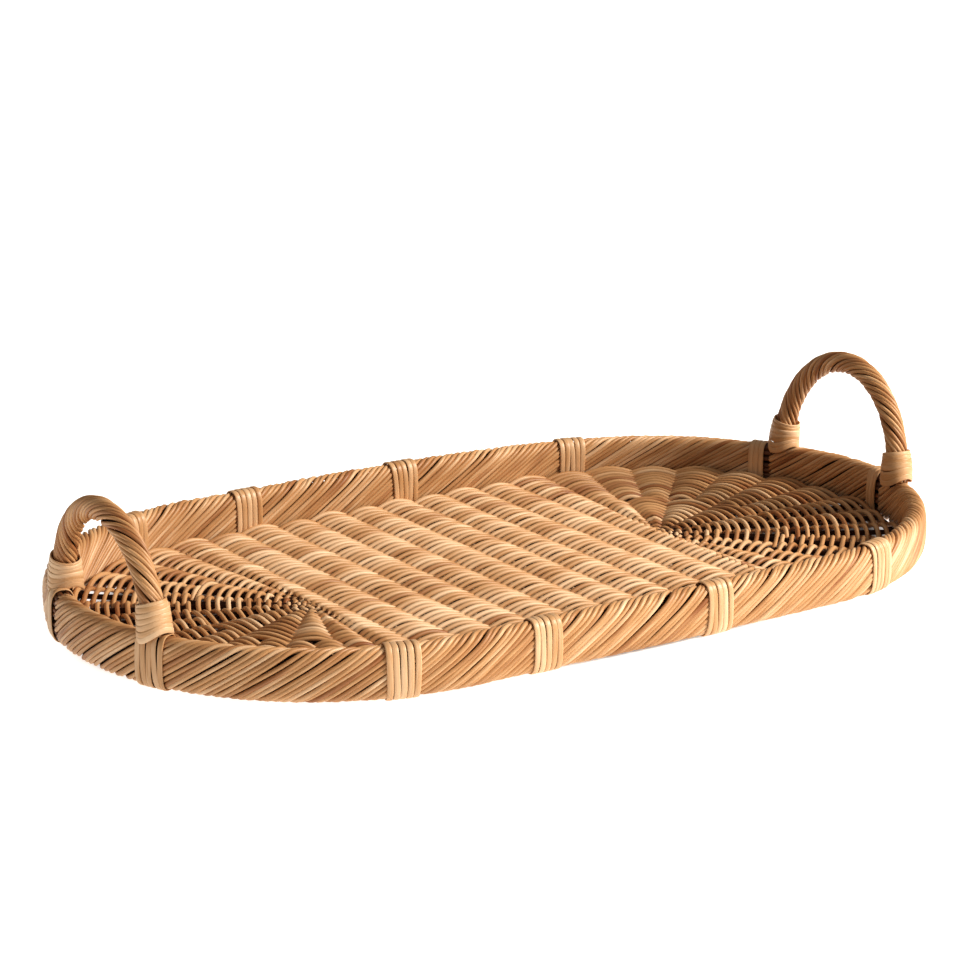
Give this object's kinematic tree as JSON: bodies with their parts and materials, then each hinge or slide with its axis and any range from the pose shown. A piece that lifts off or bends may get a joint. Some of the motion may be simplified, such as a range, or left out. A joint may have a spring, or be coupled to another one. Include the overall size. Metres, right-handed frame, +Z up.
{
  "type": "serving tray",
  "caption": "Oval woven cane serving tray with a flat ribbed floor, a tall rolled border bound at intervals, and a twisted bow handle at each end.",
  "frame": {"origin": "under the middle of the tray, on the surface that it stands on", "axes": "+X along the tray towards its higher handle, +Y across it, +Z up"},
  "size_m": [0.7, 0.3986, 0.1247],
  "materials": {
    "weaver_cane": "peeled round cane, satin",
    "stake_cane": "peeled round cane, dry",
    "border_rod": "peeled round cane, satin",
    "binding_cane": "split cane with its skin, low gloss",
    "lashing_cane": "split cane with its skin, low gloss",
    "core_strip": "raw cane strip, dull",
    "handle_rod": "peeled round cane, satin",
    "handle_core": "raw cane pole, dull"
  },
  "bodies": {
    "root": {"weave_band_1": "weaver_cane", "weave_band_2": "weaver_cane", "cross_stake_01": "stake_cane", "cross_stake_02": "stake_cane", "cross_stake_03": "stake_cane", "cross_stake_04": "stake_cane", "cross_stake_05": "stake_cane", "cross_stake_06": "stake_cane", "cross_stake_07": "stake_cane", "cross_stake_08": "stake_cane", "cross_stake_09": "stake_cane", "cross_stake_10": "stake_cane", "cross_stake_11": "stake_cane", "fan_stakes_right": "stake_cane", "fan_stakes_left": "stake_cane", "border_core": "core_strip", "border_bay_01": "border_rod", "border_bay_02": "border_rod", "border_bay_03": "border_rod", "border_bay_04": "border_rod", "border_bay_05": "border_rod", "border_bay_06": "border_rod", "border_bay_07": "border_rod", "border_bay_08": "border_rod", "border_bay_09": "border_rod", "border_bay_10": "border_rod", "border_bay_11": "border_rod", "border_bay_12": "border_rod", "binding_right_far": "binding_cane", "binding_far_4": "binding_cane", "binding_far_3": "binding_cane", "binding_far_2": "binding_cane", "binding_far_1": "binding_cane", "binding_left_far": "binding_cane", "binding_left_near": "binding_cane", "binding_near_1": "binding_cane", "binding_near_2": "binding_cane", "binding_near_3": "binding_cane", "binding_near_4": "binding_cane", "binding_right_near": "binding_cane", "handle_bow_left": "handle_core", "handle_bow_right": "handle_core", "handle_twist_left": "handle_rod", "handle_twist_right": "handle_rod", "handle_lashing_left_near": "lashing_cane", "handle_lashing_left_far": "lashing_cane", "handle_lashing_right_near": "lashing_cane", "handle_lashing_right_far": "lashing_cane"}
  },
  "joints": []
}
